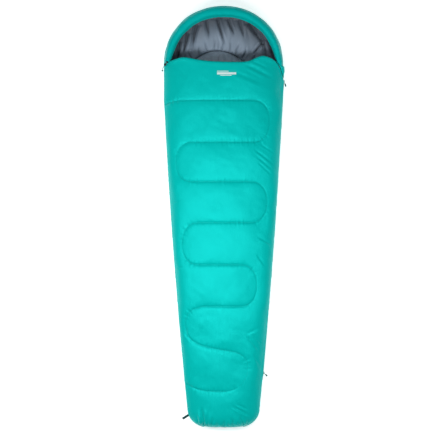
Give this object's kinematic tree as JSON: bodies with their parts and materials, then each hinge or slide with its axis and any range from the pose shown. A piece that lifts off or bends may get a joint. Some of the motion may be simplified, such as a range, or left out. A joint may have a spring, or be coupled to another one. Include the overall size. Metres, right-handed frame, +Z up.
{
  "type": "mummy sleeping bag",
  "caption": "Tapered mummy sleeping bag with a round drawcord hood, quilted front that folds open along a two-way side zip, and a grey lining.",
  "frame": {"origin": "on the flat underside, below the middle of the bag's length and width", "axes": "+X across the bag towards the zip, +Y from the foot to the hood, +Z up from the surface it lies on"},
  "size_m": [0.636, 2.1479, 0.1753],
  "materials": {
    "shell_fabric": "teal polyester taffeta with a soft sheen",
    "fill": "white hollow-fibre wadding",
    "lining_fabric": "slate grey polyester lining",
    "zip_tape": "woven teal zip tape",
    "zip_coil": "nylon coil",
    "zip_metal": "dark painted zinc",
    "hard_plastic": "moulded black acetal",
    "spring_steel": "bare spring wire",
    "cord": "pale grey braided cord",
    "webbing": "dark woven webbing",
    "print": "blank white patch"
  },
  "bodies": {
    "bag": {"back_shell": "shell_fabric", "back_insulation": "fill", "back_lining": "lining_fabric", "front_shell_fixed": "shell_fabric", "front_insulation_fixed": "fill", "front_lining_fixed": "lining_fabric", "foot_shell": "shell_fabric", "foot_insulation": "fill", "foot_lining": "lining_fabric", "hood_shell": "shell_fabric", "hood_insulation": "fill", "hood_lining": "lining_fabric", "hood_hem": "shell_fabric", "drawcord_in_hem": "cord", "hem_eyelet": "zip_metal", "drawcord_end": "cord", "cord_end_bead": "hard_plastic", "chest_hem_fixed": "shell_fabric", "zip_tape_bag_side": "zip_tape", "zip_coil_bag_side": "zip_coil", "zip_top_stop_bag_side": "zip_metal", "zip_bottom_stop": "zip_metal", "draft_tube": "lining_fabric", "foot_hang_loop": "webbing"},
    "front_flap": {"front_shell_flap": "shell_fabric", "front_insulation_flap": "fill", "front_lining_flap": "lining_fabric", "chest_hem_flap": "shell_fabric", "chest_patch": "print", "zip_tape_flap_side": "zip_tape", "zip_coil_flap_side": "zip_coil", "zip_top_stop_flap_side": "zip_metal"},
    "upper_slider": {"upper_slider": "zip_metal"},
    "upper_pull": {"upper_pull_tab": "zip_metal"},
    "lower_slider": {"lower_slider": "zip_metal"},
    "lower_pull": {"lower_pull_tab": "zip_metal"},
    "cord_lock": {"cord_lock_barrel": "hard_plastic", "cord_lock_spring": "spring_steel"},
    "cord_lock_button": {"cord_lock_button": "hard_plastic"}
  },
  "joints": [
    {"name": "front_fold", "type": "hinge", "parent": "bag", "child": "front_flap", "pos_m": [0.001, -0.001, 0.16835], "axis": [0.2448, -0.9694, -0.0182], "range_deg": [0, 165]},
    {"name": "upper_slider_travel", "type": "slide", "parent": "bag", "child": "upper_slider", "axis": [-0.0682, -0.9977, 0], "range_m": [0, 1.44]},
    {"name": "upper_pull_swing", "type": "hinge", "parent": "upper_slider", "child": "upper_pull", "pos_m": [0.31019, 0.69458, 0.075], "axis": [0, 0, 1], "range_deg": [-20, 155]},
    {"name": "lower_slider_travel", "type": "slide", "parent": "bag", "child": "lower_slider", "axis": [-0.0682, -0.9977, 0], "range_m": [-1.435, 0]},
    {"name": "lower_pull_swing", "type": "hinge", "parent": "lower_slider", "child": "lower_pull", "pos_m": [0.20819, -0.79742, 0.075], "axis": [0, 0, 1], "range_deg": [-42, 130]},
    {"name": "cord_lock_slide", "type": "slide", "parent": "bag", "child": "cord_lock", "axis": [-0.5905, -0.807, 0], "range_m": [0, 0.008]},
    {"name": "cord_lock_press", "type": "slide", "parent": "cord_lock", "child": "cord_lock_button", "axis": [0, 0, -1], "range_m": [0, 0.0032], "stiffness_N_per_m": 300, "springref_m": -0.002, "deforming": ["cord_lock_spring"]}
  ],
  "couplings": [
    {"joint": "upper_slider_travel", "follows": "front_fold", "m_per_rad": 0.5}
  ]
}
